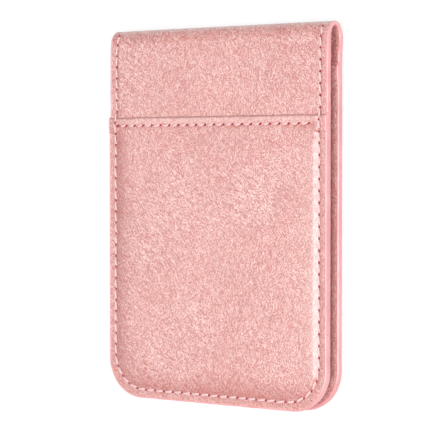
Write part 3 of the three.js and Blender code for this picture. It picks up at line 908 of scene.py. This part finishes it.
def edge_band(name, middle, half, outward, stand, body=None):
    """A D-shaped band. middle is the path in the middle of the edge, half reaches from there to the
    upper face, outward points off the edge and stand is how far the paint stands out. Across, the
    profile is cos and sin of an angle, each raised to a power below 1, and two buried points close
    it inside the leather."""
    stand = np.broadcast_to(stand, len(middle))[:, None]
    out = np.cos(PROFILE_ANGLES)[None, :] ** PAINT_POWER * (PAINT_WRAP + stand) - PAINT_WRAP
    sine = np.sin(PROFILE_ANGLES)
    rise = np.sign(sine) * np.abs(sine) ** PAINT_POWER
    buried = np.full((len(middle), 2), -PAINT_WRAP - BURIED)
    out = np.concatenate([out, buried], axis=1)
    rise = np.concatenate([rise, [0.8, -0.8]])
    steps = np.linalg.norm(np.diff(middle, axis=0), axis=1)
    distance = np.concatenate([[0], np.cumsum(steps)])
    uneven = 0.018 * np.sin(distance * 0.9) + 0.012 * np.sin(distance * 2.3 + 1.1)
    reach = out + uneven[:, None] * (out > -PAINT_WRAP / 2)
    points = middle[:, None] + half[:, None] * rise[None, :, None] + outward[:, None] * reach[..., None]
    rows, columns = points.shape[:2]
    caps = [np.arange(columns)[::-1], np.arange(columns) + (rows - 1) * columns]
    faces = [grid_faces(rows, columns, wrap=True), *caps]
    piece = make_piece(name, points.reshape(-1, 3), faces, edge_paint, 60)
    if body:
        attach(piece, body)
    else:
        bend_with_flap(piece)


def outline_track(inset, radius, top_y, step):
    """Points down the left side, round the bottom and up the right side, with the direction off the
    leaf at each. Straight stretches and arcs are found by the distance along the track."""
    side = HALF_WIDTH - inset
    bottom = BOTTOM_Y + inset
    drop = top_y - (bottom + radius)
    arc = radius * np.pi / 2
    base = 2 * (side - radius)
    total = 2 * (drop + arc) + base
    distance = np.asarray(step(total), float)
    s = np.minimum(distance, total - distance)
    down = s < drop
    turn = np.clip((s - drop) / radius, 0, np.pi / 2)
    along_base = np.clip(s - drop - arc, 0, base / 2)
    x = -side + radius * (1 - np.cos(turn)) + along_base
    y = np.where(down, top_y - s, bottom + radius - radius * np.sin(turn))
    mirror = np.where(distance > total / 2, -1.0, 1.0)
    outward = np.stack([-np.cos(turn) * mirror, -np.sin(turn), np.zeros_like(s)], -1)
    return np.stack([x * mirror, y], -1), outward


def even_steps(size):
    """A rule that spaces points about size apart along a track."""
    return lambda total: np.linspace(0, total, int(round(total / size)) + 1)


def leaf_band(name, low_z, top_z_at, stand, body):
    """The painted edge of a leaf, from its lower face to the height top_z_at gives for each y."""
    place, outward = outline_track(0, CORNER_RADIUS, LEAF_TOP_Y, even_steps(0.3))
    top_z = top_z_at(place[:, 1])
    middle = np.column_stack([place, (low_z + top_z) / 2])
    half = np.column_stack([np.zeros_like(place), (top_z - low_z) / 2])
    edge_band(name, middle, half, outward, stand, body)


def margin_top(base_z, mouth_y, thinned=0.0):
    """The height of a leaf's margin: bare leaf above the mouth, then the thick hem, then the pocket."""
    def at(y):
        below_mouth = smoothstep(mouth_y - y, -0.25, 0.15)
        in_hem = smoothstep(y, mouth_y - HEM_WIDTH - 0.7, mouth_y - HEM_WIDTH + 0.3)
        return base_z + below_mouth * (PANEL_LEATHER - thinned + HEM_TURN * in_hem)
    return at


front_edge_top = margin_top(FRONT_PANEL_Z, FRONT_MOUTH_Y)
leaf_band("front_edge_paint", FRONT_LINING_Z, front_edge_top, FRONT_STAND, "front_flap")
inner_edge_top = margin_top(INNER_PANEL_Z, INNER_MOUTH_Y, INNER_EDGE_THINNED)
leaf_band("back_edge_paint", BACK_LEATHER_Z, inner_edge_top, BACK_STAND, "back_panel")


def fold_band(name, side):
    """The painted edge of the fold, between the leather's outside and the lining's inside."""
    outer = np.column_stack([np.full(len(fold_outside), side * HALF_WIDTH), fold_outside])
    inner = np.column_stack([np.full(len(lining_inside), side * HALF_WIDTH), lining_inside])
    outward = np.broadcast_to([float(side), 0, 0], outer.shape)
    stand = np.linspace(FRONT_STAND, BACK_STAND, len(outer))
    edge_band(name, (outer + inner) / 2, (outer - inner) / 2, outward, stand)


fold_band("spine_edge_paint_left", -1)
fold_band("spine_edge_paint_right", 1)

# %% [markdown]
# ## Thread
# Each stitch is a short cord that rises out of one needle hole, lies on the leather and dives into
# the next, pulled a little aslant. One function makes a whole row: it works out all the stitches at
# once, as a grid of rings for each. Bevelled curves could do it too, but a stitch also gets thinner
# and leans as it dives, which is plain to write as a formula. The holes are small dark lenses.

# %% Stitch rows
STITCH_RINGS = np.array([0.0, 0.14, 0.36, 0.64, 0.86, 1.0])
RING_ANGLES = np.linspace(0, 2 * np.pi, 8, endpoint=False)
THREAD_HALF_WIDTH = 0.28
THREAD_HALF_HEIGHT = 0.17
THREAD_LIFT = 0.14
HOLE_RADIUS = 0.32
SEAM_REST = 0.5
HEM_REST = 1.05
rng = np.random.default_rng(7)


def stitch_row(name, holes, normals, body=None, node=None, slant=0.14, flip=1, rest=SEAM_REST):
    """Stitches between neighbouring holes. Along each, u runs from 0 to 1: the height follows
    1 - (2u-1)^4 and the thickness the same curve with a floor. Across, each ring is an ellipse."""
    start, end = holes[:-1], holes[1:]
    up = (normals[:-1] + normals[1:]) / 2
    up /= np.linalg.norm(up, axis=1, keepdims=True)
    ahead = end - start
    length = np.linalg.norm(ahead, axis=1, keepdims=True)
    ahead = ahead / length
    across = np.cross(up, ahead) * flip
    start = start + ahead * rest
    end = end - ahead * 0.06
    u = STITCH_RINGS
    arch = 1 - (2 * u - 1) ** 4
    wobble = rng.normal(0, 0.025, (len(start), 1))
    lean = (u[None, :] - 0.5) * 2 * slant + wobble
    centre = start[:, None] + (end - start)[:, None] * u[None, :, None]
    lift = THREAD_LIFT * (2.2 * arch - 1.2)
    centre = centre + across[:, None] * lean[..., None] + up[:, None] * lift[None, :, None]
    full = 0.5 + 0.5 * arch
    wide = THREAD_HALF_WIDTH * full[None, :, None, None] * np.cos(RING_ANGLES)[None, None, :, None]
    high = THREAD_HALF_HEIGHT * full[None, :, None, None] * np.sin(RING_ANGLES)[None, None, :, None]
    points = centre[:, :, None] + across[:, None, None] * wide + up[:, None, None] * high
    rings, sides, count = len(u), len(RING_ANGLES), len(start)
    size = rings * sides
    offsets = (np.arange(count) * size)[:, None, None]
    squares = (grid_faces(rings, sides, wrap=True)[None] + offsets).reshape(-1, 4)
    first = np.arange(sides)[::-1][None] + offsets[:, :, 0]
    last = np.arange(sides)[None] + size - sides + offsets[:, :, 0]
    piece = make_piece(name, points.reshape(-1, 3), [squares, first, last], waxed_thread, 80)
    lay_thread_uv(piece, rings, sides, count)
    finish_row(piece, body, node)


def lay_thread_uv(piece, rings, sides, count):
    """u along each stitch and v round it, for every corner of every face. The end caps stay at 0."""
    layer = piece.data.uv_layers.new(name="thread")
    vertex = np.empty(len(piece.data.loops), int)
    piece.data.loops.foreach_get("vertex_index", vertex)
    squares = (rings - 1) * sides * count
    corners = vertex[: squares * 4].reshape(-1, 4) % (rings * sides)
    u = corners // sides / (rings - 1)
    v = (corners % sides) / sides
    v = np.where((v.max(1, keepdims=True) - v.min(1, keepdims=True) > 0.5) & (v < 0.5), v + 1, v)
    uv = np.zeros((len(vertex), 2))
    uv[: squares * 4] = np.stack([u, v], -1).reshape(-1, 2)
    layer.data.foreach_set("uv", uv.ravel().astype(np.float32))


def finish_row(piece, body, node):
    """The body that the row rides on, or else its place baked into its mesh, and the imported thread node,
    which is hidden.
    """
    if body:
        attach(piece, body)
    else:
        bend_with_flap(piece)
    if node:
        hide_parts(node)


def hole_row(name, holes, normals, body=None, drawn=1.2, turn=0.35, size=1.0):
    """Dark lenses: a shallow cone above and below each ring, sunk so that only the top shows. The
    pull of the thread draws each hole out along the row, by drawn, and a little across it, by turn."""
    count, sides = len(holes), 8
    angles = np.linspace(0, 2 * np.pi, sides, endpoint=False)
    ahead = np.gradient(holes, axis=0)
    across = np.cross(normals, ahead)
    across /= np.linalg.norm(across, axis=1, keepdims=True)
    ahead = np.cross(across, normals)
    long_way = ahead * np.cos(turn) + across * np.sin(turn)
    short_way = across * np.cos(turn) - ahead * np.sin(turn)
    long_part = HOLE_RADIUS * size * drawn * np.cos(angles)[None, :, None] * long_way[:, None]
    short_part = HOLE_RADIUS * size * np.sin(angles)[None, :, None] * short_way[:, None]
    ring = holes[:, None] + long_part + short_part
    top = holes + normals * 0.05
    low = holes - normals * 0.12
    points = np.concatenate([ring, top[:, None], low[:, None]], axis=1).reshape(-1, 3)
    k = np.arange(sides)
    upper = np.stack([k, (k + 1) % sides, np.full(sides, sides)], -1)
    lower = np.stack([(k + 1) % sides, k, np.full(sides, sides + 1)], -1)
    offsets = (np.arange(count) * (sides + 2))[:, None, None]
    faces = [(part[None] + offsets).reshape(-1, 3) for part in (upper, lower)]
    piece = make_piece(name, points, faces, needle_hole, 80)
    if body:
        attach(piece, body)
    else:
        bend_with_flap(piece)


print("stitch and hole rows ready")

# %% [markdown]
# ## The seams
# A seam is a list of needle holes at an even pitch along its track, each with the height of the
# leather there. The track stops just short of the fold, and the fold's own seam takes over.

# %% Seam rows
HOLE_SINK = 0.1
SEAM_TOP_Y = LEAF_TOP_Y - 1.45


def stitch_steps(total):
    """Needle holes an even pitch apart along the whole track."""
    return np.linspace(0, total, int(round(total / STITCH_PITCH)) + 1)


def seam_row(name, node, body, height_at, facing, inset=SEAM_INSET):
    """A leaf's edge seam with its holes. height_at gives the face's height for each y."""
    place, _ = outline_track(inset, SEAM_CORNER_RADIUS, SEAM_TOP_Y, stitch_steps)
    z = height_at(place[:, 1]) - facing * HOLE_SINK
    holes = np.column_stack([place, z])
    normals = np.broadcast_to([0.0, 0.0, float(facing)], holes.shape)
    stitch_row(name, holes, normals, body, node, flip=facing)
    hole_row(name.replace("stitches", "holes"), holes, normals, body)


def level(z):
    """A height that is the same everywhere."""
    return lambda y: np.full_like(y, z)


front_seam_top = margin_top(FRONT_PANEL_Z, FRONT_MOUTH_Y)
inner_seam_top = margin_top(INNER_PANEL_Z, INNER_MOUTH_Y)
seam_row("front_seam_stitches", "front_seam_thread", "front_flap", front_seam_top, 1)
seam_row("front_inside_stitches", "front_bobbin_thread", "front_flap", level(FRONT_LINING_Z), -1)
seam_row("back_seam_stitches", "back_seam_thread", "back_panel", level(BACK_LEATHER_Z), -1)
seam_row("back_inside_stitches", "back_bobbin_thread", "back_panel", inner_seam_top, 1, SEAM_INSET + 0.3)


def hem_row(name, node, body, base_z, mouth_y):
    """The row along a pocket's mouth, which climbs the swell at both ends."""
    first = -HALF_WIDTH + SEAM_INSET + 0.95
    last = HALF_WIDTH - SEAM_INSET - 2.85
    x = np.linspace(first, last, int(round((last - first) / STITCH_PITCH)) + 1)
    y = np.full_like(x, mouth_y - HEM_ROW_DEPTH)
    outside, _ = pocket_heights(x, y, base_z, mouth_y)
    holes = np.column_stack([x, y, outside + 0.06])
    slope = np.gradient(outside, x)
    normals = np.column_stack([-slope, np.zeros_like(x), np.ones_like(x)])
    normals /= np.linalg.norm(normals, axis=1, keepdims=True)
    stitch_row(name, holes, normals, body, node, slant=0.2, rest=HEM_REST)
    hole_row(name.replace("stitches", "holes"), holes, normals, body, drawn=1.9)


hem_row("pocket_hem_stitches", "pocket_hem_thread", "front_flap", FRONT_PANEL_Z, FRONT_MOUTH_Y)
hem_row("inner_hem_stitches", "inner_pocket_hem_thread", "back_panel", INNER_PANEL_Z, INNER_MOUTH_Y)


def fold_row(name, node, side):
    """The seam over the fold, from the front leaf's first hole to the back leaf's, at an even pitch
    along the outside of the leather."""
    first = [[SEAM_TOP_Y, fold_outside[0, 1]]]
    last = [[SEAM_TOP_Y, fold_outside[-1, 1]]]
    path = np.concatenate([first, fold_outside, last])
    normal = np.concatenate([[[0, 1]], path_normals(fold_outside), [[0, -1]]])
    distance = np.concatenate([[0], np.cumsum(np.linalg.norm(np.diff(path, axis=0), axis=1))])
    at = stitch_steps(distance[-1])
    sunk = path - normal * HOLE_SINK
    y = np.interp(at, distance, sunk[:, 0])
    z = np.interp(at, distance, sunk[:, 1])
    up_y = np.interp(at, distance, normal[:, 0])
    up_z = np.interp(at, distance, normal[:, 1])
    up = np.column_stack([np.zeros_like(at), up_y, up_z])
    up /= np.linalg.norm(up, axis=1, keepdims=True)
    holes = np.column_stack([np.full_like(at, side * (HALF_WIDTH - SEAM_INSET)), y, z])
    stitch_row(name, holes, up, None, node, flip=side, rest=0.45)
    hole_row(name.replace("stitches", "holes"), holes[1:-1], up[1:-1], size=0.8)


fold_row("spine_stitches_left", "spine_seam_thread_left", -1)
fold_row("spine_stitches_right", "spine_seam_thread_right", 1)

# %% [markdown]
# ## The hidden layers
# Boards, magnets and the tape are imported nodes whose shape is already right, so they stay and only
# get a finish.

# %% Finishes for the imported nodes
FINISHES = {
    "front_board": fibre_board,
    "back_board": fibre_board,
    "front_magnet_left": nickel_plate,
    "front_magnet_right": nickel_plate,
    "back_magnet_left": nickel_plate,
    "back_magnet_right": nickel_plate,
    "adhesive_pad": foam_tape,
}
for node_name, finish in FINISHES.items():
    node_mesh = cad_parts[node_name].data
    node_mesh.materials.clear()
    node_mesh.materials.append(finish)
print("finished nodes:", len(FINISHES))

# %% [markdown]
# ## Floor and light
# The photograph has a white ground and soft light from the front right. The floor is white paper:
# camera rays see it mostly as plain white, and some of its shading is kept, so the holder still
# throws a soft shadow. Of the three large lamps, the key hangs above, the side lamp reaches into the
# gap between the leaves, and a weak one on the left lays a thin veil of light on the level leather.

# %% Stage
FLOOR_SIZE = 3.0
FLOOR_DROP = 0.00005


def white_paper():
    """Diffuse white, and plain white for the rays that only look at it."""
    material = bpy.data.materials.new("white_paper")
    material.use_nodes = True
    tree = material.node_tree
    tree.nodes.clear()
    rays = add_node(tree, "ShaderNodeLightPath").outputs
    looks = maths(tree, "MAXIMUM", rays["Is Camera Ray"], rays["Is Glossy Ray"])
    looks = maths(tree, "MAXIMUM", looks, rays["Is Transmission Ray"])
    paper = add_node(tree, "ShaderNodeBsdfDiffuse", {"Color": (0.9, 0.9, 0.9, 1)})
    glow = add_node(tree, "ShaderNodeEmission", {"Color": (1, 1, 1, 1), "Strength": 1.0})
    share = maths(tree, "MULTIPLY", looks, 0.85)
    mixed = add_node(tree, "ShaderNodeMixShader", {0: share, 1: paper.outputs[0], 2: glow.outputs[0]})
    add_node(tree, "ShaderNodeOutputMaterial", {"Surface": mixed.outputs[0]})
    return material


floor_points = np.array([[-1, -1, 0], [1, -1, 0], [1, 1, 0], [-1, 1, 0]]) * FLOOR_SIZE / 2
floor_mesh = bpy.data.meshes.new("floor")
floor_mesh.from_pydata((floor_points - [0, 0, FLOOR_DROP]).tolist(), [], [[0, 1, 2, 3]])
floor_mesh.materials.append(white_paper())
floor = bpy.data.objects.new("floor", floor_mesh)
bpy.context.scene.collection.objects.link(floor)


def softbox(name, place, target, size, power):
    """A square area lamp at place that faces target, in metres and watts."""
    data = bpy.data.lights.new(name, "AREA")
    data.size = size
    data.energy = power
    lamp = bpy.data.objects.new(name, data)
    back = np.array(place, float) - np.array(target, float)
    back /= np.linalg.norm(back)
    side = np.cross([0, 1, 0.01], back)
    side /= np.linalg.norm(side)
    matrix = np.eye(4)
    matrix[:3, 0], matrix[:3, 1], matrix[:3, 2], matrix[:3, 3] = side, np.cross(back, side), back, place
    lamp.matrix_world = matrix.T.tolist()
    bpy.context.scene.collection.objects.link(lamp)


softbox("key_softbox", (0.17, -0.1, 0.94), (0, 0, 0), 0.27, 5.6)
softbox("veil_softbox", (-0.62, 0.0, 0.8), (0, 0, 0), 0.6, 1.35)
softbox("side_softbox", (0.6, -0.14, 0.74), (0, 0, 0), 0.4, 5.3)

world = bpy.data.worlds.new("studio")
world.use_nodes = True
bpy.context.scene.world = world
world_tree = world.node_tree
world_tree.nodes.clear()
world_rays = add_node(world_tree, "ShaderNodeLightPath").outputs
world_looks = maths(world_tree, "MAXIMUM", world_rays["Is Camera Ray"], world_rays["Is Transmission Ray"])
WORLD_LIGHT = 0.25
world_lift = maths(world_tree, "MULTIPLY", world_looks, 1 - WORLD_LIGHT)
world_strength = maths(world_tree, "ADD", world_lift, WORLD_LIGHT)
sky = add_node(world_tree, "ShaderNodeBackground", {"Color": (1, 1, 1, 1), "Strength": world_strength})
add_node(world_tree, "ShaderNodeOutputWorld", {"Surface": sky.outputs[0]})
print("stage ready")
